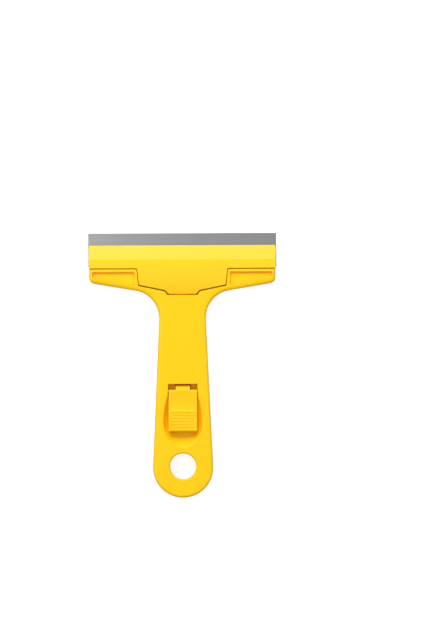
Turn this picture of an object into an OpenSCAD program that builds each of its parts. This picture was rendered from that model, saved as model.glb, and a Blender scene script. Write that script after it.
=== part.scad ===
/* [Handle] */
// Width of the rounded tail
tail_w = 32; // [28:0.5:36]
// Width at the narrowest place, below the head
neck_w = 24.7; // [23:0.1:27]
// From the hang hole to the narrowest place
neck_y = 79; // [76:1:92]
// Thickness from the back to the front
handle_t = 13; // [12.4:0.2:15]
// Thickness of the front skin
skin_t = 2; // [1.6:0.1:2.2]
// Thickness of the side walls
wall_t = 2; // [1.6:0.1:2.2]
// Thickness of the back cover's plate
back_t = 1.8; // [1.5:0.1:2]
// Diameter of the hang hole
hang_d = 14; // [9:0.5:15]
// How far the tail's arc is centred behind the hang hole
tail_shift = 0.5; // [0:0.1:1.5]
// Radius of the handle's front edges
front_r = 1.4; // [0.6:0.1:1.8]
// Radius of the handle's back edges
back_r = 1.2; // [0.6:0.1:1.4]

/* [Head] */
// Radius between the handle's side and the wing
neck_r = 14.8; // [11:0.1:16]
// Slope of the wing's rear edge, in degrees
wing_slope = 9.6; // [6:0.2:11]
// Length of the wing's side
wing_l = 7.15; // [6.4:0.05:8]
// Radius of the wing's outer corner
wing_r = 3; // [2:0.1:3.6]
// How far the wing's rear edge is rounded over
wing_round = 2.7; // [1.4:0.1:2.9]
// How far the wings stand behind the cover's ends
wing_inset = 0.2; // [0:0.1:1]
// Depth of the pocket in each wing
pocket_d = 1.4; // [0.8:0.1:2]
// Rise of each wing's underside towards its tip
wing_lift = 3.4; // [1:0.1:4.4]
// Blade bed below the handle's front face
bed_drop = 3.8; // [3.4:0.1:4.2]

/* [Blade] */
// Length of the blade along its edge
blade_l = 100; // [98:0.5:104]
// Width of the blade from back to edge
blade_w = 18; // [17:0.1:22]
// Thickness of the blade
blade_t = 0.4; // [0.25:0.05:0.5]
// Width of the blade that shows in front of the clamp
blade_show = 6.4; // [5:0.1:7.4]
// How far the blade stands out past each end of the head
blade_over = 0.35; // [0.2:0.05:1.2]
// Width of the edge ground on the blade's underside
grind_w = 1.6; // [0.8:0.1:3]
// Diameter of the two locating holes
blade_hole_d = 5; // [3.6:0.1:5.6]
// Distance between the two locating holes
blade_hole_gap = 62; // [40:1:80]

/* [Clamp cover] */
// Width of the cover where it leaves the wings
waist_w = 46.2; // [40:0.2:52]
// How much wider each side of it is at the wings' front
waist_flare = 0.9; // [0:0.1:2]
// Width where the slanted edges meet the tongue
slant_w = 18; // [16.8:0.2:24]
// Width of the tongue's end
tongue_w = 15.4; // [14:0.2:16.6]
// From the handle's narrowest place to the tongue's end
tongue_rise = 12.8; // [12:0.1:15]
// Length of the tongue
tongue_l = 1.9; // [1.4:0.1:3]
// Rise of the slanted edges
slant_rise = 2.9; // [2:0.1:3.6]
// From the slanted edges to the cover's rear edge
waist_l = 8.8; // [8.6:0.1:11]
// Height of the crest above the handle's front face
crest_h = 0.3; // [0.2:0.1:1]
// Length of the front bevel
bevel_l = 7.1; // [5.6:0.1:8]
// Thickness of the lip over the blade
lip_t = 1; // [0.8:0.05:1.3]
// Radius of the lip's corners
lip_r = 0.8; // [0.4:0.1:1.4]
// Radius of the cover's other corners
cover_r = 0.8; // [0.3:0.1:1.2]
// Thickness of the cover's walls
cover_t = 1.6; // [1.3:0.1:1.8]
// How far the clamp opens, in degrees
clamp_open = 6.5; // [4:0.5:7]

/* [Lever] */
// Width of the lever
lever_w = 15.2; // [13:0.1:16.4]
// From the hang hole to the lever's free end
lever_end_y = 18.7; // [17.4:0.1:21]
// Length of the lever to its shoulders
lever_l = 22.2; // [20:0.1:25]
// Thickness of the lever's plate
lever_t = 2.2; // [1.9:0.1:2.4]
// Height of the ribbed pad above the handle
pad_h = 0.9; // [0.4:0.1:1.4]
// Length of the ribbed pad
pad_l = 11.5; // [9:0.1:14]
// Distance between the pad's grooves
groove_pitch = 1.6; // [1.2:0.1:2.4]
// Depth of the pad's grooves
groove_d = 0.4; // [0.2:0.05:0.5]
// Plain margin beside the grooves and the thumb hollow
groove_in = 1.2; // [0.6:0.1:2]
// Width of the lever's hub
hub_w = 7.6; // [6.4:0.1:8.4]
// Depth of the lever's hollow for the thumb
thumb_d = 0.3; // [0.1:0.05:0.5]
// Radius of the lever's corners
lever_r = 0.6; // [0.3:0.1:1]
// Radius of the lever's hub
hub_r = 3.7; // [3.2:0.05:3.8]
// How far the lever lifts, in degrees
lever_open = 80; // [60:1:84]
// Half the width of the finger dish
dish_a = 11; // [10.4:0.1:11.6]
// From the hang hole to the dish's widest place
dish_y = 23; // [22:0.1:25]
// From the hang hole to the dish's rear end
dish_end_y = 9.6; // [9.4:0.1:12]
// Depth of the finger dish
dish_d = 5; // [4.9:0.1:5.3]

/* [Inside] */
// Diameter of the lever's pin
lever_pin_d = 2; // [1.6:0.1:2.2]
// Diameter of the clamp's pin
clamp_pin_d = 2.5; // [2:0.1:2.8]
// Diameter of the heel's pin
heel_pin_d = 2; // [1.6:0.1:2.2]
// Width of the push bar
bar_w = 12; // [11.4:0.1:12.4]
// Thickness of the push bar
bar_t = 3.2; // [2.8:0.1:3.4]
// Length of the clamp's heel from its pin to the heel's pin
heel_l = 14; // [12.6:0.1:15]
// Diameter of the screws' shanks
screw_d = 2.4; // [2:0.1:2.6]
// Diameter of the screws' heads
screw_head_d = 4.6; // [4:0.1:5]

/* [Clearances] */
// Between a pin and what turns on it, on the radius
pin_play = 0.05; // [0.02:0.01:0.08]
// Between a pin or screw and what holds it, on the radius
held_play = 0.02; // [0.01:0.01:0.04]
// Between the push bar and its guides
bar_play = 0.15; // [0.1:0.01:0.25]
// Between the lever's toe and the push bar's window
toe_play = 0.25; // [0.2:0.01:0.3]
// Between the lever and its well
well_play = 0.27; // [0.2:0.01:0.4]
// Between the cover and the wings' front edges
back_gap = 0.5; // [0.45:0.05:0.8]
// Between the cover's sides and the handle
side_gap = 0.3; // [0.25:0.05:0.6]
// Between the cover's slanted edges and the handle, along the handle
slant_gap = 0.55; // [0.52:0.01:0.7]
// Between the tongue's end and the handle's skin
tongue_gap = 0.65; // [0.6:0.05:0.9]
// Between the closed clamp and the blade
grip_gap = 0.03; // [0.01:0.01:0.05]

/* [Hidden] */
$fn = 64;
over = 1;
arc_step = 6;
arc_r = 16;
rim_steps = 4;
rim_over = 4;

tail_r = tail_w / 2;
tail_y = -tail_shift;
neck_hw = neck_w / 2;
side_lean = asin(tail_r / norm([neck_hw, neck_y - tail_y])) - atan2(neck_hw, neck_y - tail_y);
cover_hw = blade_l / 2 - blade_over;
head_hw = cover_hw - wing_inset;
waist_hw = waist_w / 2;
slant_hw = slant_w / 2;
tongue_hw = tongue_w / 2;

tongue_y = neck_y + tongue_rise;
slant_y = tongue_y + tongue_l;
waist_y = slant_y + slant_rise;
rear_y = waist_y + waist_l;
wing_front_y = rear_y - back_gap;
wing_tip_y = wing_front_y - wing_l;
ledge_l = 0.6;
blade_back_y = rear_y + ledge_l;
edge_y = blade_back_y + blade_w;
lip_y = edge_y - blade_show;
bevel_y = lip_y - bevel_l;
bed_inset = 0.6;
bed_y = lip_y - bed_inset;
crest_y = rear_y - 5 * ledge_l;

bed_t = 1.8;
bed_z = handle_t - bed_drop;
well_y = wing_front_y - bed_t;
blade_z = bed_z + blade_t;
lip_z = blade_z + grip_gap;
crest_z = handle_t + crest_h;

fillet_x = (tail_r + neck_r - (wing_tip_y - head_hw * tan(wing_slope) - neck_r / cos(wing_slope) - tail_y)
    * sin(side_lean)) / (cos(side_lean) + tan(wing_slope) * sin(side_lean));
fillet_y = wing_tip_y + (fillet_x - head_hw) * tan(wing_slope) - neck_r / cos(wing_slope);

lever_hw = lever_w / 2;
well_hw = lever_hw + well_play;
hub_hw = hub_w / 2;
shoulder_y = lever_end_y + lever_l;
pin_inset = 1.1;
lever_pin_y = shoulder_y - pin_inset;
hub_sink = 0.1;
lever_pin_z = handle_t - hub_r + hub_sink;
hub_gap = 0.45;
slot_y = lever_pin_y + hub_r + hub_gap;
plate_z = handle_t - lever_t;
pad_y = lever_end_y + pad_l;
dish_front = (shoulder_y - dish_y) / sqrt(1 - pow(well_hw / dish_a, 2));
dish_rear = dish_y - dish_end_y;

bar_lift = 0.4;
bar_z = back_t + bar_lift;
bar_top = bar_z + bar_t;
bar_hw = bar_w / 2;
toe_r = 1.3;
toe_t = 1.5 * toe_r;
toe_reach = (lever_pin_z - bar_top) / cos(lever_open / 2);
toe_y = lever_pin_y + toe_reach * sin(lever_open / 2);
bar_travel = 2 * toe_reach * sin(lever_open / 2);
toe_hw = hub_hw;
window_hw = toe_hw + toe_play;
window_l = 2 * (toe_r + toe_play);
bar_end = 2;
bar_y = toe_y - window_l / 2 - bar_end;

clamp_pin_y = tongue_y + pin_inset + pin_play * 2;
lug_sink = 4.4;
clamp_pin_z = handle_t - lug_sink;
heel_hw = 3.9;
cheek_hw = heel_hw + bar_play * 2;
heel_y = clamp_pin_y - heel_l;
heel_z = bar_z + bar_t + heel_pin_d / 4;
heel_dz = heel_z - clamp_pin_z;
heel_slide_y = -heel_l * (cos(clamp_open) - 1) - heel_dz * sin(clamp_open);
heel_drop = heel_l * sin(clamp_open) - heel_dz * (cos(clamp_open) - 1);
slot_run = bar_travel + heel_slide_y;
slot_tilt = atan2(heel_drop, slot_run);
slot_h = heel_pin_d + 2 * bar_play;
nose_wall = 1.3;
nose_y = heel_y - slot_h / 2 - nose_wall;
nose_end_y = heel_y + slot_run + slot_h / 2 + nose_wall;
nose_top = heel_z + slot_h / 2 + nose_wall;

floor_t = 2;
back_end_y = fillet_y - neck_r * sin(side_lean) - wall_t / 4;
ceiling_z = handle_t - skin_t;
bowl_z = handle_t - dish_d - wall_t * 0.8;
bowl_end_y = lever_pin_y - hub_r - pin_inset;
boss_y = lever_pin_y - lever_pin_d - held_play;

// Points along an arc, closer together in angle where the radius is larger
function ring(cx, cy, r, a, b) = let (n = max(1, ceil(abs(b - a) / arc_step * sqrt(r / arc_r))))
    [for (i = [0:n]) let (t = a + (b - a) * i / n) [cx + r * cos(t), cy + r * sin(t)]];
function flipped(points) = [for (i = [len(points) - 1:-1:0]) [for (k = [0:len(points[i]) - 1])
    k == 0 ? -points[i][k] : points[i][k]]];
function both(points) = concat(points, flipped(points));

// An open line whose inner corners are rounded by r
function short_way(a) = a - 360 * round(a / 360);
function corner(a, p, b, r) = let (u = (a - p) / norm(a - p), v = (b - p) / norm(b - p), half = acos(u * v) / 2,
        c = p + (u + v) / norm(u + v) * r / sin(half), s = p + u * r / tan(half) - c, e = p + v * r / tan(half) - c,
        from = atan2(s[1], s[0]))
    ring(c[0], c[1], r, from, from + short_way(atan2(e[1], e[0]) - from));
function eased(points, r) = let (n = len(points)) concat([points[0]],
    [for (i = [1:n - 2]) for (p = corner(points[i - 1], points[i], points[i + 1], r)) p], [points[n - 1]]);

// The same line, whose points carry a share that runs from a to b
function shared(points, a, b) = let (n = len(points) - 1)
    [for (i = [0:n]) [points[i][0], points[i][1], a + (b - a) * i / n]];

// Half outline of the handle, pulled in by a wall
function handle_half(inset, top_y) = let (r = tail_r - inset)
    concat(ring(0, tail_y, r, -90, side_lean),
        [[(r - (top_y - tail_y) * sin(side_lean)) / cos(side_lean), top_y]]);
function wing_y(x) = wing_tip_y + (x - head_hw) * tan(wing_slope);
function corner_y() = wing_y(head_hw - wing_r) + wing_r / cos(wing_slope);

// Half outline of the whole handle, each point with its share of the edge's radius
wing_share = min(wing_round, wing_r - held_play) / front_r;
shell_half = concat(shared(ring(0, tail_y, tail_r, -90, side_lean), 1, 1),
    shared(ring(fillet_x, fillet_y, neck_r, 180 + side_lean, 90 + wing_slope), 1, wing_share),
    shared(ring(head_hw - wing_r, corner_y(), wing_r, wing_slope - 90, 0), wing_share, 1),
    [[head_hw, blade_back_y - held_play, 1]]);

// Half outline of the clamp cover, and of the opening round it
function cover_half(side, slant, end, rear) = eased([
    [tongue_hw / 2, tongue_y - end],
    [tongue_hw + side, tongue_y - end],
    [slant_hw + side, slant_y - slant],
    [waist_hw + side, waist_y - slant],
    [waist_hw + waist_flare + side, rear_y - rear],
    [cover_hw + side, rear_y - rear]], cover_r);

// A closed outline without repeated points, and the same outline pulled in by d
function closed(points) = let (n = len(points))
    [for (i = [0:n - 1]) if (norm(points[i] - points[(i + n - 1) % n]) > lip_r / arc_r) points[i]];
function outward(a, b) = let (d = [b[0] - a[0], b[1] - a[1]] / norm([b[0] - a[0], b[1] - a[1]])) [d[1], -d[0]];
function pulled(points, d) = let (n = len(points)) [for (i = [0:n - 1])
    let (a = outward(points[(i + n - 1) % n], points[i]), b = outward(points[i], points[(i + 1) % n]))
        [points[i][0], points[i][1]] - (a + b) * d * points[i][2] / (1 + a * b)];

// A plate from 0 to top whose lower edges are rounded by r0 and upper edges by r1, if that isn't zero.
// The rounding runs on past both faces, which are then cut flat.
module slab(half, top, r0, r1) {
    loop = closed(both(half));
    n = len(loop);
    turns = [for (i = [0:rim_steps]) i == 0 ? -rim_over : 90 * i / rim_steps];
    levels = concat([for (t = turns) [r0 * (1 - sin(t)), r0 * (t < 0 ? cos(t) - 1 : 1 - cos(t))]],
        r1 == 0 ? [[0, top + over]]
            : [for (i = [rim_steps:-1:0]) let (t = turns[i])
                [r1 * (1 - sin(t)), top - r1 * (t < 0 ? cos(t) - 1 : 1 - cos(t))]]);
    last = n * (len(levels) - 1);
    points = [for (level = levels) for (p = pulled(loop, level[0])) [p[0], p[1], level[1]]];
    sides = [for (k = [0:n:last - n]) for (i = [0:n - 1]) let (j = (i + 1) % n)
        [k + i, k + n + i, k + n + j, k + j]];
    cap = concat([[n - 1, 0, n - 2]], [for (i = [0:n / 2 - 2]) [i, i + 1, n - 3 - i, n - 2 - i]]);
    lid = [for (face = cap) [for (i = [len(face) - 1:-1:0]) last + face[i]]];
    intersection() {
        polyhedron(points, concat(cap, sides, lid));
        block(-blade_l, blade_l, -tail_w, blade_l + tail_w, 0, top);
    }
}

// The opening round the cover, and the well under it between the wings
opening_half = cover_half(side_gap, slant_gap, tongue_gap, back_gap);
well_half = concat([for (p = opening_half) if (p[1] < waist_y) p],
    [[waist_hw + side_gap + waist_flare * (well_y - waist_y) / waist_l, well_y]]);

module handle_plan(inset, top_y) {
    polygon(both(handle_half(inset, top_y)));
}
module across(half_w) {
    translate([-half_w, 0, 0]) rotate([90, 0, 90]) linear_extrude(2 * half_w) children();
}
module cross_bore(y, z, r, half_w) {
    translate([-half_w, y, z]) rotate([0, 90, 0]) cylinder(r = r, h = 2 * half_w);
}
module mirrored() {
    children();
    mirror([1, 0, 0]) children();
}
module block(x0, x1, y0, y1, z0, z1) {
    translate([x0, y0, z0]) cube([x1 - x0, y1 - y0, z1 - z0]);
}

// Where the screws stand, and how high each one reaches
boss_r = screw_head_d / 2;
guide_t = 1.3;
guide_hw = bar_hw + bar_play;
boss_x = guide_hw + guide_t / 2 + boss_r;
screw_len = bowl_z - back_t;
screw_spots = [[0, lever_end_y + screw_head_d * 0.8], [boss_x, neck_y - heel_l], [-boss_x, neck_y - heel_l]];
head_h = screw_head_d / 4;

hang_wall = 1.8;
tube_r = hang_d / 2 + hang_wall;
rim_c = 0.6;
lug_r = 3;
bearing_w = 3;
bearing_top = clamp_pin_z + clamp_pin_d / 2 + 0.75;
core_z = bed_z - bed_t;
core_t = 1.6;
core_y = wing_tip_y + core_t;
core_end = bed_y - core_t - bed_t / 4;
rib_count = 6;
peg_r = blade_hole_d / 2 - 0.2;
peg_y = (blade_back_y + lip_y) / 2 - ledge_l;
peg_h = 0.7;
bar_rib_shares = [0.25, 0.6];
web_sink = 1.2;
web_z = lever_pin_z - web_sink - guide_t;

module handle_shell() {
    color([1, 0.84, 0.14]) difference() {
        union() {
            difference() {
                union() {
                    slab(shell_half, handle_t, back_r, front_r);
                    linear_extrude(bed_z) polygon(both([[head_hw - bed_inset, rear_y - over], [head_hw - bed_inset, bed_y]]));
                }
                shell_hollows();
            }
            shell_bosses();
        }
        shell_bores();
    }
}

// What is moulded away: cavity, well, dish, underside and cores
module shell_hollows() {
    difference() {
        translate([0, 0, -over]) linear_extrude(back_t + over) handle_plan(-over, back_end_y);
        cylinder(r = tube_r, h = handle_t);
    }
    difference() {
        translate([0, 0, -over]) linear_extrude(bowl_z + over) handle_plan(wall_t, boss_y + over);
        cylinder(r = tube_r, h = handle_t);
    }
    intersection() {
        linear_extrude(ceiling_z) handle_plan(wall_t, tongue_y);
        block(-tail_w, tail_w, boss_y, back_end_y + over, 0, ceiling_z);
    }
    intersection() {
        translate([0, 0, floor_t]) linear_extrude(ceiling_z - floor_t) handle_plan(wall_t, tongue_y);
        block(-tail_w, tail_w, back_end_y, tongue_y, floor_t, ceiling_z);
    }
    translate([0, 0, floor_t]) linear_extrude(handle_t) polygon(both(well_half));
    translate([0, 0, blade_z - grip_gap]) linear_extrude(handle_t)
        polygon(both(concat(opening_half, [[blade_l, wing_front_y], [blade_l, edge_y]])));
    block(-well_hw, well_hw, pad_y - over, slot_y, plate_z - well_play, handle_t + over);
    block(-well_hw, well_hw, bowl_end_y, slot_y, back_t, handle_t + over);
    across(blade_l) polygon([[wing_front_y - back_gap, -over], [wing_front_y - back_gap, 0],
        [bed_y, core_z], [bed_y, -over]]);
    mirrored() translate([0, edge_y, 0]) rotate([90, 0, 0]) linear_extrude(edge_y - fillet_y + neck_r)
        polygon([[neck_hw + wing_r, -over], [neck_hw + wing_r, 0], [head_hw, wing_lift],
            [blade_l, wing_lift], [blade_l, -over]]);
    mirrored() wing_pocket();
    mirrored() cores();
}
// An egg-shaped bowl: each ring has its share of the outline and of the depth, from a rounded rim to the floor
dish_sides = 40;
dish_shares = [[1.1, -0.06], [1.03, -0.012], [0.983, 0.003], [0.966, 0.013], [0.947, 0.033], [0.929, 0.064], [0.913, 0.11], [0.88, 0.248],
    [0.84, 0.388], [0.77, 0.56], [0.66, 0.748], [0.5, 0.905], [0.28, 0.985]];
function dish_ring(share, z) = [for (i = [0:dish_sides - 1]) let (t = i * 360 / dish_sides)
    [dish_a * share * cos(t), dish_y + (sin(t) > 0 ? dish_front : dish_rear) * share * sin(t), z]];
module dish() {
    rings = [for (d = dish_shares) dish_ring(d[0], handle_t - dish_d * d[1])];
    last = len(rings) * dish_sides;
    intersection() {
        polyhedron(concat([for (r = rings) each r], [[0, dish_y, handle_t - dish_d]]), concat(
            [[for (i = [dish_sides - 1:-1:0]) i]],
            [for (k = [0:len(rings) - 2]) for (i = [0:dish_sides - 1]) let (j = (i + 1) % dish_sides)
                [k * dish_sides + i, k * dish_sides + j, (k + 1) * dish_sides + j, (k + 1) * dish_sides + i]],
            [for (i = [0:dish_sides - 1]) [last - dish_sides + i, last - dish_sides + (i + 1) % dish_sides, last]]));
        block(-tail_w, tail_w, 0, shoulder_y - pin_inset, 0, 2 * handle_t);
    }
}
// A pocket with a steep front wall, and a rear wall that slopes up to the wing's rounded edge
pocket_tilt = 30;
pocket_land = 1;
module wing_pocket() {
    inner = waist_hw + waist_flare + side_gap + pocket_land;
    outer = head_hw - pocket_land - core_t / 3;
    top = wing_front_y - pocket_land - core_t / 4;
    low = wing_round + pocket_land / 4;
    middle = (inner + outer) / 2;
    intersection() {
        translate([head_hw, wing_y(head_hw) + low, handle_t]) rotate([0, 0, wing_slope]) rotate([-pocket_tilt, 0, 0])
            translate([-2 * head_hw, 0, -over]) cube([4 * head_hw, blade_w, blade_w]);
        translate([0, 0, handle_t - pocket_d]) linear_extrude(pocket_d + over) polygon(eased([
            [middle + cover_r, top], [inner, top], [inner, waist_y - cover_r], [outer, waist_y - cover_r],
            [outer, top], [middle + 2 * cover_r, top]], cover_r));
    }
}
module cores() {
    inner = waist_hw + waist_flare + side_gap + pocket_land;
    cell = (head_hw - core_t - inner) / (rib_count / 2);
    for (i = [0:rib_count / 2 - 1])
        block(inner + i * cell, inner + (i + 1) * cell - core_t / 2, core_y, core_end, -over, core_z);
    inner_cell = (inner - core_t / 2) / 2;
    for (i = [0:1])
        block(core_t / 2 + i * inner_cell, (i + 1) * inner_cell, rear_y + core_t / 4, core_end, -over, core_z);
}

// What stands up inside: pin bosses, bearings, guides, pegs
module shell_bosses() {
    mirrored() {
        block(well_hw, well_hw + bearing_w, boss_y, slot_y + guide_t,
            lever_pin_z - lever_pin_d, ceiling_z + skin_t / 2);
        block(hub_hw + toe_play, well_hw + bearing_w, lever_pin_y - lever_pin_d, slot_y + guide_t,
            web_z, web_z + guide_t);
        block(0, well_hw + bearing_w, slot_y, slot_y + guide_t, web_z, ceiling_z + skin_t / 2);
        block(cheek_hw, cheek_hw + bearing_w, clamp_pin_y - lug_r, clamp_pin_y + lug_r, floor_t / 2, bearing_top);
        block(guide_hw, guide_hw + guide_t, slot_y + guide_t, heel_y, bar_z, ceiling_z + skin_t / 2);
        translate([blade_hole_gap / 2, peg_y, bed_z - bed_t / 2]) cylinder(r = peg_r, h = bed_t / 2 + peg_h);
    }
    for (share = bar_rib_shares)
        block(-guide_hw - guide_t / 2, guide_hw + guide_t / 2, bar_y + (nose_y - bar_travel - bar_y) * share,
            bar_y + (nose_y - bar_travel - bar_y) * share + guide_t, bar_top + bar_play, ceiling_z + skin_t / 2);
    for (s = screw_spots)
        translate([s[0], s[1], back_t]) cylinder(r = boss_r, h = (s[0] == 0 ? bowl_z : ceiling_z) + skin_t / 2 - back_t);
}
module shell_bores() {
    dish();
    cylinder(d = hang_d, h = 4 * handle_t, center = true);
    translate([0, 0, handle_t - rim_c]) cylinder(r1 = hang_d / 2, r2 = hang_d / 2 + 2 * rim_c, h = 2 * rim_c);
    cross_bore(lever_pin_y, lever_pin_z, lever_pin_d / 2 + held_play, well_hw + bearing_w + over);
    cross_bore(clamp_pin_y, clamp_pin_z, clamp_pin_d / 2 + held_play, cheek_hw + bearing_w + over);
    for (s = screw_spots)
        translate([s[0], s[1], 0]) cylinder(r = screw_d / 2 + held_play, h = back_t + screw_len + held_play);
}

module back_cover() {
    seat = core_t / 8;
    color([1, 0.82, 0.12]) difference() {
        union() {
            slab(shared(handle_half(0, back_end_y - seat), 1, 1), back_t, back_r, 0);
            difference() {
                linear_extrude(back_t + core_t) handle_plan(wall_t + seat, back_end_y - wall_t);
                translate([0, 0, back_t]) linear_extrude(back_t + core_t)
                    handle_plan(wall_t + seat + core_t * 0.75, back_end_y);
            }
        }
        cylinder(r = tube_r + seat, h = 4 * handle_t, center = true);
        for (s = screw_spots) translate([s[0], s[1], 0]) {
            cylinder(r = screw_d / 2 + seat, h = 4 * back_t, center = true);
            translate([0, 0, -over]) cylinder(r = boss_r + seat, h = over + head_h);
            translate([0, 0, back_t]) cylinder(r = boss_r + seat, h = back_t);
        }
    }
}

module back_screws() {
    drive_d = screw_head_d / 3;
    for (s = screw_spots) translate([s[0], s[1], 0]) color([0.72, 0.73, 0.75]) difference() {
        union() {
            cylinder(r = boss_r, h = head_h - held_play);
            cylinder(r = screw_d / 2, h = back_t + screw_len);
        }
        for (a = [0, 90]) rotate([0, 0, a])
            translate([-drive_d, -drive_d / 6, -over]) cube([2 * drive_d, drive_d / 3, over + head_h / 2]);
    }
}

module blade() {
    color([0.62, 0.63, 0.65]) difference() {
        across(blade_l / 2) polygon([[blade_back_y, bed_z], [edge_y - grind_w, bed_z],
            [edge_y, blade_z - blade_t / 8], [edge_y, blade_z], [blade_back_y, blade_z]]);
        mirrored() translate([blade_hole_gap / 2, peg_y, 0]) cylinder(d = blade_hole_d, h = 2 * handle_t);
    }
}

// Top of the clamp cover: a rise from the tongue, a round crest and a bevel to the lip
tongue_sink = 1;
lip_top = lip_z + lip_t;
crest_fall = 0.7;
function cover_top(y) = y < crest_y
    ? crest_z - (crest_h + tongue_sink) * pow((crest_y - y) / (crest_y - tongue_y), 2)
    : crest_z - crest_fall * pow((y - crest_y) / (bevel_y - crest_y), 2);
crest_steps = 18;
cover_line = concat([for (i = [0:crest_steps]) let (y = tongue_y + (bevel_y - tongue_y) * i / crest_steps)
    [y, cover_top(y)]], [[lip_y, lip_top]]);
heel_t = 2.8;
heel_wall = 0.75;
cover_rib_t = 1.2;
cover_rib_shares = [0.3, 0.8];
skirt_z = bed_z - core_t / 2;

module clamp_cover() {
    cut = cover_t;
    color([1, 0.85, 0.16]) difference() {
        union() {
            difference() {
                intersection() {
                    across(cover_hw) polygon(concat(cover_line, [[lip_y, lip_z], [well_y - side_gap, lip_z],
                        [well_y - side_gap, skirt_z], [waist_y, skirt_z], [waist_y, ceiling_z], [tongue_y, ceiling_z]]));
                    linear_extrude(2 * handle_t) polygon(both(concat(cover_half(0, 0, 0, 0),
                        ring(cover_hw - lip_r, lip_y - lip_r, lip_r, 0, 90))));
                }
                intersection() {
                    across(cover_hw) polygon(concat([for (p = cover_line) [p[0], p[1] - cut]],
                        [[lip_y, -over], [tongue_y, -over]]));
                    linear_extrude(2 * handle_t) polygon(both([
                        [tongue_hw - cut, waist_y + cut / 2], [waist_hw - cut, waist_y + cut / 2],
                        [waist_hw - cut, rear_y + cut], [cover_hw - cut, rear_y + cut],
                        [cover_hw - cut, lip_y - blade_show / 2], [0, lip_y - blade_show / 2]]));
                }
            }
            intersection() {
                mirrored() for (share = cover_rib_shares)
                    block(cover_hw * share, cover_hw * share + cover_rib_t, rear_y + cut / 2, lip_y - blade_show / 2,
                        blade_z + cut / 4, crest_z);
                across(cover_hw) polygon(concat([for (p = cover_line) [p[0], p[1] - cut / 2]],
                    [[lip_y, 0], [tongue_y, 0]]));
            }
            intersection() {
                union() {
                    cross_bore(clamp_pin_y, clamp_pin_z, lug_r, heel_hw);
                    block(-heel_hw, heel_hw, clamp_pin_y - lug_r / 2, clamp_pin_y + lug_r, clamp_pin_z,
                        handle_t);
                    heel_arm();
                }
                across(heel_hw) polygon(concat([for (p = cover_line) [p[0], p[1] - cut / 2]],
                    [[lip_y, 0], [heel_y - heel_l, 0], [heel_y - heel_l, ceiling_z - side_gap],
                    [tongue_y, ceiling_z - side_gap]]));
            }
        }
        cross_bore(clamp_pin_y, clamp_pin_z, clamp_pin_d / 2 + pin_play, blade_l);
        cross_bore(heel_y, heel_z, heel_pin_d / 2 + held_play, blade_l);
    }
}
module heel_arm() {
    tilt = atan2(-heel_dz, heel_l);
    reach = norm([heel_l, heel_dz]);
    cross_bore(heel_y, heel_z, heel_pin_d / 2 + heel_wall, heel_hw);
    translate([-heel_hw, heel_y, heel_z]) rotate([tilt, 0, 0]) translate([0, 0, -heel_t / 2])
        cube([2 * heel_hw, reach, heel_t]);
}

module clamp_pin() {
    color([0.8, 0.81, 0.83]) cross_bore(clamp_pin_y, clamp_pin_z, clamp_pin_d / 2, cheek_hw + bearing_w);
}
module heel_pin() {
    color([0.8, 0.81, 0.83]) cross_bore(heel_y, heel_z, heel_pin_d / 2, bar_hw - bar_play);
}
module lever_pin() {
    color([0.8, 0.81, 0.83]) cross_bore(lever_pin_y, lever_pin_z, lever_pin_d / 2, well_hw + bearing_w);
}

module push_bar() {
    color([0.93, 0.93, 0.9]) difference() {
        union() {
            block(-bar_hw, bar_hw, bar_y, nose_end_y, bar_z, bar_top);
            block(-bar_hw, bar_hw, nose_y, nose_end_y, bar_z, nose_top);
        }
        block(-window_hw, window_hw, toe_y - window_l / 2, toe_y + window_l / 2, 0, handle_t);
        block(-cheek_hw, cheek_hw, nose_y, nose_end_y + over, 0, handle_t);
        translate([-bar_w, heel_y, heel_z]) rotate([-slot_tilt, 0, 0])
            translate([0, -slot_h / 2, -slot_h / 2]) cube([2 * bar_w, norm([slot_run, heel_drop]) + slot_h, slot_h]);
    }
}

module lever() {
    groove_count = floor((pad_l - groove_pitch) / groove_pitch);
    round_r = lever_t / 2;
    thumb_l = shoulder_y - round_r - pad_y;
    thumb_r = (thumb_l * thumb_l / 4 + thumb_d * thumb_d) / (2 * thumb_d);
    color([1, 0.82, 0.13]) difference() {
        union() {
            intersection() {
                across(lever_hw) polygon(concat([[lever_end_y + round_r, plate_z], [shoulder_y, plate_z]],
                    ring(shoulder_y - round_r, handle_t - round_r, round_r, 0, 90),
                    [[pad_y, handle_t], [pad_y - pad_h, handle_t + pad_h]],
                    ring(lever_end_y + lever_r, handle_t + pad_h - lever_r, lever_r, 90, 180),
                    [[lever_end_y, plate_z + round_r]]));
                linear_extrude(2 * handle_t) polygon(both(concat(
                    ring(lever_hw - lever_r, lever_end_y + lever_r, lever_r, -90, 0), [[lever_hw, shoulder_y]])));
            }
            cross_bore(lever_pin_y, lever_pin_z, hub_r, hub_hw);
            translate([-toe_hw, lever_pin_y, lever_pin_z]) rotate([90 + lever_open / 2, 0, 0])
                translate([0, -toe_reach, -toe_t / 2]) cube([2 * toe_hw, toe_reach, toe_t]);
            cross_bore(toe_y, bar_top, toe_r, toe_hw);
        }
        cross_bore(lever_pin_y, lever_pin_z, lever_pin_d / 2 + pin_play, blade_l);
        cross_bore(pad_y + thumb_l / 2, handle_t - thumb_d + thumb_r, thumb_r, lever_hw - groove_in, $fn = 4 * $fn);
        for (i = [1:groove_count])
            translate([0, lever_end_y + groove_pitch * i + groove_d / 4, handle_t + pad_h + groove_d / 2])
                rotate([45, 0, 0])
                    cube([2 * (lever_hw - groove_in), groove_d * sqrt(2), groove_d * sqrt(2)], center = true);
    }
}

handle_shell();
back_cover();
back_screws();
blade();
clamp_cover();
clamp_pin();
heel_pin();
push_bar();
lever();
lever_pin();
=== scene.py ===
from math import radians

import bmesh
import bpy
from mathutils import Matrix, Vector
from mathutils.bvhtree import BVHTree


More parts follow.
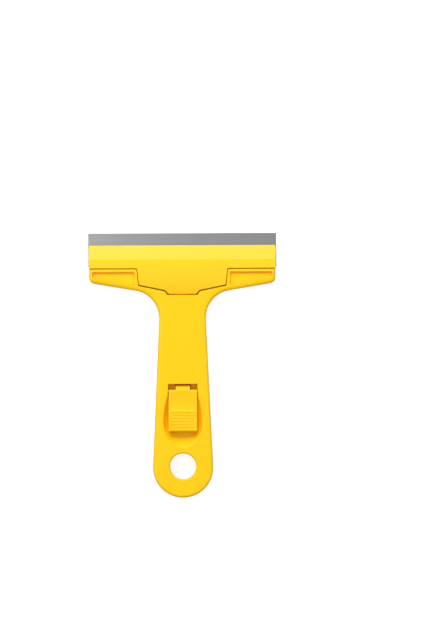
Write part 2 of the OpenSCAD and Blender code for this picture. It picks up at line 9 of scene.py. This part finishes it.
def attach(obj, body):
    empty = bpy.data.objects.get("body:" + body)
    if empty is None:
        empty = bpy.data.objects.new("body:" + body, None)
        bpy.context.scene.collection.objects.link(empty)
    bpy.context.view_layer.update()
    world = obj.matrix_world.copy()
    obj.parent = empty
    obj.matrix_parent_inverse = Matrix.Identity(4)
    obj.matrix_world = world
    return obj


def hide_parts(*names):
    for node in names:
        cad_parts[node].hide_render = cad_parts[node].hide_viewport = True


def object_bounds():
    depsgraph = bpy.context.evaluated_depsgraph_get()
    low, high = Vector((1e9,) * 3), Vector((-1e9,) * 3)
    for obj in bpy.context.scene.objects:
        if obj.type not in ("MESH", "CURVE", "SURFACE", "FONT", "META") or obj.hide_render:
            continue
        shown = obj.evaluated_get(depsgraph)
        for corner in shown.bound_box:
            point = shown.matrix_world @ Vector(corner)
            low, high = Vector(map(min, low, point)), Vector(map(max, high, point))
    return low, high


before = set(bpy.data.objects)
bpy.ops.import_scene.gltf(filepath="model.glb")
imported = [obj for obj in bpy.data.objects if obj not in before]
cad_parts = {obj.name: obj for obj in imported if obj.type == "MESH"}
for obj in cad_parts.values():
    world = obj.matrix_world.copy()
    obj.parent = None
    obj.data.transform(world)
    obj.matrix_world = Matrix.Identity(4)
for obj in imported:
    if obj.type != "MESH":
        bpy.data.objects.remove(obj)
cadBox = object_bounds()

scene = bpy.context.scene
scene.view_settings.view_transform = "Standard"
print("frame loaded:", len(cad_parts), "nodes")


camera = {
    "aim": (0.0149, 0.0802),  # point of the scraper's back plane in the middle of the picture
    "tall": 0.3352,           # how much of it the picture's height spans
    "lens": 300,
    "sensor": 36,
    "roll": 0.26,             # degrees
    "lift": 0.012,            # the height where the measured scale holds
}


def makeCamera(cfg):
    data = bpy.data.cameras.new("camera")
    data.sensor_fit = "VERTICAL"
    data.sensor_height = cfg["sensor"]
    data.lens = cfg["lens"]
    cam = bpy.data.objects.new("camera", data)
    far = cfg["tall"] * cfg["lens"] / cfg["sensor"]
    cam.location = (cfg["aim"][0], cfg["aim"][1], far + cfg["lift"])
    cam.rotation_euler = (0, 0, radians(-cfg["roll"]))
    scene.collection.objects.link(cam)
    scene.camera = cam
    print("camera at", tuple(round(v, 3) for v in cam.location))


makeCamera(camera)


studio = {
    "floorSize": 6.0,
    "floorDrop": 0.0001,      # how far the floor lies under the scraper's back
    "floorColor": (0.42, 0.42, 0.42, 1),
    "floorGlow": 0.8,         # keeps the floor white to the eye, and still shows the shadow
    "ambient": 0.19,
    "white": (1, 1, 1, 1),
}


def link(tree, out, into):
    tree.links.new(out, into)


def addSeen(tree):
    # 1 for camera, glossy and transmission rays, 0 for the rays that light the object
    path = tree.nodes.new("ShaderNodeLightPath")
    both = tree.nodes.new("ShaderNodeMath")
    both.operation = "MAXIMUM"
    link(tree, path.outputs["Is Camera Ray"], both.inputs[0])
    link(tree, path.outputs["Is Glossy Ray"], both.inputs[1])
    allRays = tree.nodes.new("ShaderNodeMath")
    allRays.operation = "MAXIMUM"
    link(tree, both.outputs[0], allRays.inputs[0])
    link(tree, path.outputs["Is Transmission Ray"], allRays.inputs[1])
    return allRays.outputs[0]


def makeWorld(cfg):
    world = bpy.data.worlds.new("studioWorld")
    world.use_nodes = True
    tree = world.node_tree
    tree.nodes.clear()
    soft = tree.nodes.new("ShaderNodeBackground")
    soft.inputs["Color"].default_value = cfg["white"]
    soft.inputs["Strength"].default_value = cfg["ambient"]
    seen = tree.nodes.new("ShaderNodeBackground")
    seen.inputs["Color"].default_value = cfg["white"]
    mix = tree.nodes.new("ShaderNodeMixShader")
    out = tree.nodes.new("ShaderNodeOutputWorld")
    link(tree, addSeen(tree), mix.inputs[0])
    link(tree, soft.outputs[0], mix.inputs[1])
    link(tree, seen.outputs[0], mix.inputs[2])
    link(tree, mix.outputs[0], out.inputs["Surface"])
    scene.world = world


def floorPaper(cfg):
    mat = bpy.data.materials.new("paleFloor")
    mat.use_nodes = True
    tree = mat.node_tree
    tree.nodes.clear()
    matte = tree.nodes.new("ShaderNodeBsdfDiffuse")
    matte.inputs["Color"].default_value = cfg["floorColor"]
    glow = tree.nodes.new("ShaderNodeEmission")
    glow.inputs["Color"].default_value = cfg["white"]
    strength = tree.nodes.new("ShaderNodeMath")
    strength.operation = "MULTIPLY"
    strength.inputs[1].default_value = cfg["floorGlow"]
    link(tree, addSeen(tree), strength.inputs[0])
    link(tree, strength.outputs[0], glow.inputs["Strength"])
    add = tree.nodes.new("ShaderNodeAddShader")
    out = tree.nodes.new("ShaderNodeOutputMaterial")
    link(tree, matte.outputs[0], add.inputs[0])
    link(tree, glow.outputs[0], add.inputs[1])
    link(tree, add.outputs[0], out.inputs["Surface"])
    return mat


def makeFloor(cfg):
    half = cfg["floorSize"] / 2
    corners = [(-half, -half, 0), (half, -half, 0), (half, half, 0), (-half, half, 0)]
    mesh = bpy.data.meshes.new("floor")
    mesh.from_pydata(corners, [], [(0, 1, 2, 3)])
    mesh.materials.append(floorPaper(cfg))
    floor = bpy.data.objects.new("floor", mesh)
    floor.location.z = cadBox[0][2] - cfg["floorDrop"]
    scene.collection.objects.link(floor)


lamps = {
    "aim": (0, 0.06, 0),
    "keyLamp": {"power": 18.5, "size": 0.9, "at": (-0.2, 1.05, 0.93)},
    "topLamp": {"power": 6.9, "size": 1.0, "at": (-0.1, 0.1, 1.5), "gloss": False},
    "fillLamp": {"power": 2.0, "size": 0.9, "at": (0.25, -0.9, 0.7)},
    "bladeLamp": {"power": 1.5, "size": 0.12, "at": (-0.25, 0.12, 0.44), "diffuse": False},
}


def softLamp(name, aim, cfg):
    data = bpy.data.lights.new(name, "AREA")
    data.shape = "SQUARE"
    data.size = cfg["size"]
    data.energy = cfg["power"]
    lamp = bpy.data.objects.new(name, data)
    lamp.location = cfg["at"]
    toAim = Vector(aim) - Vector(cfg["at"])
    lamp.rotation_euler = toAim.to_track_quat("-Z", "Y").to_euler()
    lamp.visible_diffuse = cfg.get("diffuse", True)
    lamp.visible_glossy = cfg.get("gloss", True)
    scene.collection.objects.link(lamp)


makeWorld(studio)
makeFloor(studio)
for lampName in ("keyLamp", "topLamp", "fillLamp", "bladeLamp"):
    softLamp(lampName, lamps["aim"], lamps[lampName])
print("studio ready")


plasticEffect = {
    "driftDetail": 2.0,
    "grainDetail": 3.0,
    "paintedShadeSamples": 8,
    "paintedShadeFrom": 0.85,       # how open a place is where the painted shade starts to deepen its colour
    "paintedShadeFull": 0.35,       # and where the painted shade is at its deepest
    "inputs": [
        ("NodeSocketColor", "Color", (1, 1, 1, 1)),
        ("NodeSocketColor", "Deep Color", (1, 1, 1, 1)),
        ("NodeSocketColor", "Painted Shade Color", (1, 1, 1, 1)),
        ("NodeSocketFloat", "Painted Shade Reach", 0.004),
        ("NodeSocketFloat", "Drift Scale", 40.0),
        ("NodeSocketFloat", "Grain Scale", 5200.0),
        ("NodeSocketFloat", "Gloss Low", 0.32),
        ("NodeSocketFloat", "Gloss High", 0.4),
    ],
}
steelEffect = {
    "lineScale": 1,
    "lineDetail": 2,
    "inputs": [
        ("NodeSocketColor", "Color", (0.6, 0.6, 0.6, 1)),
        ("NodeSocketColor", "Line Color", (0.5, 0.5, 0.5, 1)),
        ("NodeSocketVector", "Stretch", (60.0, 6000.0, 6000.0)),
        ("NodeSocketFloat", "Gloss Low", 0.28),
        ("NodeSocketFloat", "Gloss High", 0.44),
    ],
}


def newGroup(name, inputs):
    group = bpy.data.node_groups.new(name, "ShaderNodeTree")
    for kind, label, value in inputs:
        socket = group.interface.new_socket(label, in_out="INPUT", socket_type=kind)
        socket.default_value = value
    for kind, label in (("NodeSocketColor", "Color"), ("NodeSocketFloat", "Roughness"),
            ("NodeSocketFloat", "Height")):
        group.interface.new_socket(label, in_out="OUTPUT", socket_type=kind)
    inner = group.nodes.new("NodeGroupInput")
    outer = group.nodes.new("NodeGroupOutput")
    return group, inner, outer


def noiseAt(tree, scaleOut, detail, vector):
    noise = tree.nodes.new("ShaderNodeTexNoise")
    noise.inputs["Detail"].default_value = detail
    link(tree, scaleOut, noise.inputs["Scale"])
    link(tree, vector, noise.inputs["Vector"])
    return noise.outputs["Fac"]


def blendColors(tree, factor, first, second):
    mix = tree.nodes.new("ShaderNodeMix")
    mix.data_type = "RGBA"
    link(tree, factor, mix.inputs["Factor"])
    link(tree, first, mix.inputs["A"])
    link(tree, second, mix.inputs["B"])
    return mix.outputs["Result"]


def spreadGloss(tree, value, inner, outer):
    # uneven gloss: the value moves the roughness between its two limits
    spread = tree.nodes.new("ShaderNodeMapRange")
    link(tree, value, spread.inputs["Value"])
    link(tree, inner.outputs["Gloss Low"], spread.inputs["To Min"])
    link(tree, inner.outputs["Gloss High"], spread.inputs["To Max"])
    link(tree, spread.outputs["Result"], outer.inputs["Roughness"])


def makeMouldedGroup(cfg):
    # injection-moulded plastic: slow colour drift, fine spark-eroded grain, uneven gloss, and painted shade in
    # its recesses
    group, inner, outer = newGroup("mouldedPlastic", cfg["inputs"])
    place = group.nodes.new("ShaderNodeTexCoord").outputs["Object"]
    drift = noiseAt(group, inner.outputs["Drift Scale"], cfg["driftDetail"], place)
    drifted = blendColors(group, drift, inner.outputs["Color"], inner.outputs["Deep Color"])
    # painted shade: where ambient occlusion finds a narrow recess, the colour is blended towards a deeper,
    # darker one, standing in for the shade and the coloured light that gather there
    openness = group.nodes.new("ShaderNodeAmbientOcclusion")
    openness.samples = cfg["paintedShadeSamples"]
    link(group, inner.outputs["Painted Shade Reach"], openness.inputs["Distance"])
    paintedShadeMask = group.nodes.new("ShaderNodeMapRange")
    paintedShadeMask.inputs["From Min"].default_value = cfg["paintedShadeFrom"]
    paintedShadeMask.inputs["From Max"].default_value = cfg["paintedShadeFull"]
    link(group, openness.outputs["AO"], paintedShadeMask.inputs["Value"])
    shadedColor = blendColors(group, paintedShadeMask.outputs["Result"], drifted, inner.outputs["Painted Shade Color"])
    link(group, shadedColor, outer.inputs["Color"])
    grain = noiseAt(group, inner.outputs["Grain Scale"], cfg["grainDetail"], place)
    link(group, grain, outer.inputs["Height"])
    spreadGloss(group, drift, inner, outer)
    return group


def makeBrushedGroup(cfg):
    # rolled or drawn steel: fine lines along one axis
    group, inner, outer = newGroup("brushedSteel", cfg["inputs"])
    place = group.nodes.new("ShaderNodeTexCoord").outputs["Object"]
    stretch = group.nodes.new("ShaderNodeVectorMath")
    stretch.operation = "MULTIPLY"
    link(group, place, stretch.inputs[0])
    link(group, inner.outputs["Stretch"], stretch.inputs[1])
    lines = group.nodes.new("ShaderNodeTexNoise")
    lines.inputs["Scale"].default_value = cfg["lineScale"]
    lines.inputs["Detail"].default_value = cfg["lineDetail"]
    link(group, stretch.outputs[0], lines.inputs["Vector"])
    lined = blendColors(group, lines.outputs["Fac"], inner.outputs["Color"], inner.outputs["Line Color"])
    link(group, lined, outer.inputs["Color"])
    link(group, lines.outputs["Fac"], outer.inputs["Height"])
    spreadGloss(group, lines.outputs["Fac"], inner, outer)
    return group


def finish(name, group, values, bump, fixed):
    # bump is the grain's strength and height, fixed holds what is the same all over the surface
    mat = bpy.data.materials.new(name)
    mat.use_nodes = True
    tree = mat.node_tree
    shader = tree.nodes["Principled BSDF"]
    effect = tree.nodes.new("ShaderNodeGroup")
    effect.node_tree = group
    for label, value in values.items():
        effect.inputs[label].default_value = value
    link(tree, effect.outputs["Color"], shader.inputs["Base Color"])
    link(tree, effect.outputs["Roughness"], shader.inputs["Roughness"])
    grain = tree.nodes.new("ShaderNodeBump")
    grain.inputs["Strength"].default_value, grain.inputs["Distance"].default_value = bump
    link(tree, effect.outputs["Height"], grain.inputs["Height"])
    link(tree, grain.outputs["Normal"], shader.inputs["Normal"])
    for label, value in fixed.items():
        shader.inputs[label].default_value = value
    return mat


moulded = makeMouldedGroup(plasticEffect)
brushed = makeBrushedGroup(steelEffect)
# painted shade: the deeper colour that narrow recesses of the yellow parts are blended towards
paintedShadeYellow = (0.98, 0.465, 0.001, 1)
yellowPlastic = {
    "IOR": 1.5,
    "Specular IOR Level": 0.09,
    "Subsurface Weight": 0.08,
    "Subsurface Scale": 0.001,
    "Subsurface Radius": (1.0, 0.5, 0.08),
}
glossierPlastic = {**yellowPlastic, "Specular IOR Level": 0.18}
steel = {"Metallic": 1}

handleYellow = finish("handleYellow", moulded, {
    "Color": (0.99, 0.6, 0.009, 1), "Deep Color": (0.975, 0.58, 0.008, 1), "Painted Shade Color": paintedShadeYellow,
}, (0.12, 0.00004), yellowPlastic)
coverYellow = finish("coverYellow", moulded, {
    "Color": (0.99, 0.6, 0.008, 1), "Deep Color": (0.975, 0.58, 0.007, 1), "Painted Shade Color": paintedShadeYellow,
    "Gloss Low": 0.2, "Gloss High": 0.27,
}, (0.1, 0.00004), glossierPlastic)
leverYellow = finish("leverYellow", moulded, {
    "Color": (0.985, 0.585, 0.009, 1), "Deep Color": (0.97, 0.565, 0.008, 1), "Painted Shade Color": paintedShadeYellow,
}, (0.1, 0.00004), yellowPlastic)
# the bar's third colour is painted shade for its narrow recesses
barWhite = finish("barWhite", moulded, {
    "Color": (0.82, 0.82, 0.78, 1), "Deep Color": (0.78, 0.78, 0.74, 1), "Painted Shade Color": (0.74, 0.73, 0.69, 1),
    "Gloss Low": 0.4, "Gloss High": 0.5,
}, (0.1, 0.00004), {"IOR": 1.5})
bladeSteel = finish("bladeSteel", brushed, {
    "Color": (0.21, 0.213, 0.216, 1), "Line Color": (0.18, 0.183, 0.186, 1),
}, (0.05, 0.00002), steel)
pinShadeBlack = finish("pinShadeBlack", brushed, {  # painted shade: the pins are made near black so that their ends read as the shade of their gaps
    "Color": (0.08, 0.075, 0.07, 1), "Line Color": (0.05, 0.048, 0.046, 1),
    "Gloss Low": 0.3, "Gloss High": 0.42,
}, (0.05, 0.00002), steel)
# the screws' third colour is painted shade for their narrow recesses
screwSteel = finish("screwSteel", moulded, {
    "Color": (0.38, 0.385, 0.395, 1), "Deep Color": (0.33, 0.335, 0.35, 1), "Painted Shade Color": (0.2, 0.2, 0.205, 1),
    "Gloss Low": 0.28, "Gloss High": 0.4,
}, (0.08, 0.00003), steel)
print("finishes ready")


rounding = {
    "join": 0.000002,         # points closer than this are one
    "tiny": 0.00001,          # edges shorter than this go
    "sliver": 0.000001,       # and after the rounding these
    "flat": 0.3,              # degrees between faces that are really one
    "crease": 42,             # degrees above which the shading breaks
    "turns": 6,
    "stray": 0.6,             # how far a new point may lie off the plain shape, in roundings
    "speck": 0.01,            # faces smaller than this aren't looked at, in roundings squared
    "against": -0.1,          # a face this much against the plain shape's is inside out
    "reach": 1.5,             # how near a fault an edge stays sharp, in roundings, more each turn
    "profile": 0.5,
    "noLength": 1e-18,
}


def weldSkin(skin):
    # one closed skin with its flat faces whole
    bmesh.ops.remove_doubles(skin, verts=skin.verts, dist=rounding["join"])
    bmesh.ops.dissolve_degenerate(skin, dist=rounding["tiny"], edges=skin.edges)
    bmesh.ops.dissolve_limit(skin, angle_limit=radians(rounding["flat"]), verts=skin.verts, edges=skin.edges)
    bent = [f for f in skin.faces if not f.normal.length]
    bmesh.ops.triangulate(skin, faces=bent, quad_method="BEAUTY")


def closeSkin(skin):
    # cuts the skin into triangles without slivers, in the way that leaves the fewest edges open
    best, gaps = None, []
    for ways in (("join",), ("dissolve",), ("join", "dissolve")):
        trial = skin.copy()
        if "join" in ways:
            bmesh.ops.remove_doubles(trial, verts=trial.verts, dist=rounding["sliver"])
        if "dissolve" in ways:
            bmesh.ops.dissolve_degenerate(trial, dist=rounding["sliver"], edges=trial.edges)
        bmesh.ops.triangulate(trial, faces=trial.faces)
        spots = [(e.verts[0].co + e.verts[1].co) / 2 for e in trial.edges if not e.is_manifold]
        if best is None:
            best, gaps = trial, spots
        elif len(spots) < len(gaps):
            best.free()
            best, gaps = trial, spots
        else:
            trial.free()
        if not gaps:
            break
    skin.free()
    return best, gaps


def isSharp(edge, cfg, barred):
    return (edge.index not in barred and edge.is_manifold
        and edge.calc_face_angle(0) > radians(cfg["sharp"]))


def straySpots(skin, tree, size):
    # where the skin leaves the plain shape or turns inside out
    spots = [v.co.copy() for v in skin.verts if tree.find_nearest(v.co)[3] > rounding["stray"] * size]
    for face in skin.faces:
        normal = tree.find_nearest(face.calc_center_median())[1]
        if face.calc_area() > rounding["speck"] * size ** 2 and normal.dot(face.normal) < rounding["against"]:
            spots.extend(v.co.copy() for v in face.verts)
    return spots


def isNear(edge, spots, reach):
    start, end = (v.co for v in edge.verts)
    along = end - start
    for spot in spots:
        share = (spot - start).dot(along) / max(along.length_squared, rounding["noLength"])
        if (start + along * max(0, min(1, share)) - spot).length < reach:
            return True
    return False


def roundEdges(mesh, cfg):
    # rounds every sharp edge by cfg["edge"], and leaves those sharp where the rounding finds no room
    plain = bmesh.new()
    plain.from_mesh(mesh)
    weldSkin(plain)
    plain.edges.index_update()
    tree = BVHTree.FromBMesh(plain)
    barred = set()
    for turn in range(rounding["turns"]):
        skin = plain.copy()
        sharp = [e for e in skin.edges if isSharp(e, cfg, barred)]
        bmesh.ops.bevel(skin, geom=sharp, offset=cfg["edge"], offset_type="OFFSET", segments=cfg["steps"],
            profile=rounding["profile"], affect="EDGES", clamp_overlap=False)
        skin, gaps = closeSkin(skin)
        spots = straySpots(skin, tree, cfg["edge"]) + gaps
        print("   turn", turn, "faults", len(spots), "edges kept sharp", len(barred))
        if not spots or turn == rounding["turns"] - 1:
            break
        reach = cfg["edge"] * (rounding["reach"] + turn)
        barred.update([e.index for e in plain.edges if isSharp(e, cfg, barred) and isNear(e, spots, reach)])
        skin.free()
    for face in skin.faces:
        face.smooth = True
        face.material_index = 0
    for edge in skin.edges:
        edge.smooth = edge.is_manifold and edge.calc_face_angle(0) < radians(rounding["crease"])
    skin.to_mesh(mesh)
    skin.free()
    plain.free()
    for layer in list(mesh.attributes):
        if layer.name in ("custom_normal", "sharp_face"):
            mesh.attributes.remove(layer)


def nodeMesh(name):
    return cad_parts[name].data.copy()


def dress(pieceName, mesh, mat, node, cfg):
    # rounds the mesh, gives it its finish, and puts it in the place of its node
    roundEdges(mesh, cfg)
    mesh.name = pieceName
    mesh.materials.clear()
    mesh.materials.append(mat)
    piece = bpy.data.objects.new(pieceName, mesh)
    scene.collection.objects.link(piece)
    even = piece.modifiers.new("even", "WEIGHTED_NORMAL")
    even.keep_sharp = True
    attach(piece, cfg["body"])
    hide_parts(node)
    print("dressed", pieceName, len(mesh.polygons), "faces")


# edge is the rounding's size, sharp the degrees above which an edge gets one, steps how many facets it has
handleShell = {"edge": 0.00013, "sharp": 33, "steps": 2, "body": "handle", "slot": "shell_yellow"}
dress("handleShell", nodeMesh("handle_shell"), handleYellow, "handle_shell", handleShell)

backCover = {"edge": 0.00016, "sharp": 33, "steps": 2, "body": "handle", "slot": "shell_yellow"}
dress("backCover", nodeMesh("back_cover"), handleYellow, "back_cover", backCover)

clampCover = {"edge": 0.00011, "sharp": 33, "steps": 2, "body": "clamp", "slot": "cover_yellow"}
dress("clampCover", nodeMesh("clamp_cover"), coverYellow, "clamp_cover", clampCover)

pushBar = {"edge": 0.0002, "sharp": 33, "steps": 2, "body": "bar", "slot": "bar_white"}
dress("pushBar", nodeMesh("push_bar"), barWhite, "push_bar", pushBar)

scraperBlade = {"edge": 0.00003, "sharp": 33, "steps": 1, "body": "handle", "slot": "blade_steel"}
dress("scraperBlade", nodeMesh("blade"), bladeSteel, "blade", scraperBlade)

backScrews = {"edge": 0.00008, "sharp": 40, "steps": 2, "body": "handle", "slot": "screw_steel"}
dress("backScrews", nodeMesh("back_screws"), screwSteel, "back_screws", backScrews)

handlePin = {"edge": 0.00015, "sharp": 40, "steps": 2, "body": "handle", "slot": "pin_steel"}
dress("clampPin", nodeMesh("clamp_pin"), pinShadeBlack, "clamp_pin", handlePin)
dress("leverPin", nodeMesh("lever_pin"), pinShadeBlack, "lever_pin", handlePin)

heelPin = {**handlePin, "body": "clamp"}
dress("heelPin", nodeMesh("heel_pin"), pinShadeBlack, "heel_pin", heelPin)


lockingLever = {
    "edge": 0.00014, "sharp": 33, "steps": 2, "body": "lever", "slot": "lever_yellow",
    "padHalf": 0.00645,       # half the width of the ribbed field
    "padFront": 0.0302,       # where the pad's front meets the lever's face
    "padBack": 0.0245,        # where the filling ends, under the ribs that the solid has
    "face": 0.013,
    "padTop": 0.0139,
    "ribs": 6,
    "ribFirst": 0.0204,       # the groove nearest the free end
    "ribPitch": 0.0016,
    "ribHalf": 0.0006,        # half a groove's width, at its cutter's top
    "ribDeep": 0.00026,       # how far the cutter goes down, and stands out above
}


def prismMesh(name, outline, half):
    # an outline in y and z, carried from -half to half along x
    mesh = bpy.data.meshes.new(name)
    shape = bmesh.new()
    ends = [[shape.verts.new((x, y, z)) for y, z in outline] for x in (-half, half)]
    shape.faces.new(ends[0])
    shape.faces.new(list(reversed(ends[1])))
    for i in range(len(outline)):
        j = (i + 1) % len(outline)
        shape.faces.new((ends[0][j], ends[0][i], ends[1][i], ends[1][j]))
    bmesh.ops.recalc_face_normals(shape, faces=shape.faces)
    shape.to_mesh(mesh)
    shape.free()
    return mesh


def carve(mesh, tools, operation):
    # joins each tool to the mesh, or cuts it out
    base = bpy.data.objects.new("carveBase", mesh)
    scene.collection.objects.link(base)
    helpers = []
    for tool in tools:
        helper = bpy.data.objects.new("carveTool", tool)
        scene.collection.objects.link(helper)
        step = base.modifiers.new("carve", "BOOLEAN")
        step.operation = operation
        step.solver = "EXACT"
        step.object = helper
        helpers.append(helper)
    bpy.context.view_layer.update()
    graph = bpy.context.evaluated_depsgraph_get()
    done = bpy.data.meshes.new_from_object(base.evaluated_get(graph))
    print("carved", operation, len(mesh.polygons), "to", len(done.polygons), "faces")
    for helper in helpers + [base]:
        bpy.data.objects.remove(helper)
    return done


def leverMesh(cfg):
    # the solid's ribbed field stops short, so the pad's front is filled in and all its ribs are cut again
    face, top = cfg["face"], cfg["padTop"]
    front, back = cfg["padFront"], cfg["padBack"]
    rise = top - face
    fill = [(front + rise, face - rise), (front, face), (front - rise, top), (back, top), (back, face - rise)]
    mesh = carve(nodeMesh("lever"), [prismMesh("padFill", fill, cfg["padHalf"])], "UNION")
    grooves = []
    for i in range(cfg["ribs"]):
        y = cfg["ribFirst"] + cfg["ribPitch"] * i
        over, under = top + cfg["ribDeep"], top - cfg["ribDeep"]
        vee = [(y - cfg["ribHalf"], over), (y, under), (y + cfg["ribHalf"], over)]
        grooves.append(prismMesh("padRib", vee, cfg["padHalf"]))
    return carve(mesh, grooves, "DIFFERENCE")


dress("lockingLever", leverMesh(lockingLever), leverYellow, "lever", lockingLever)
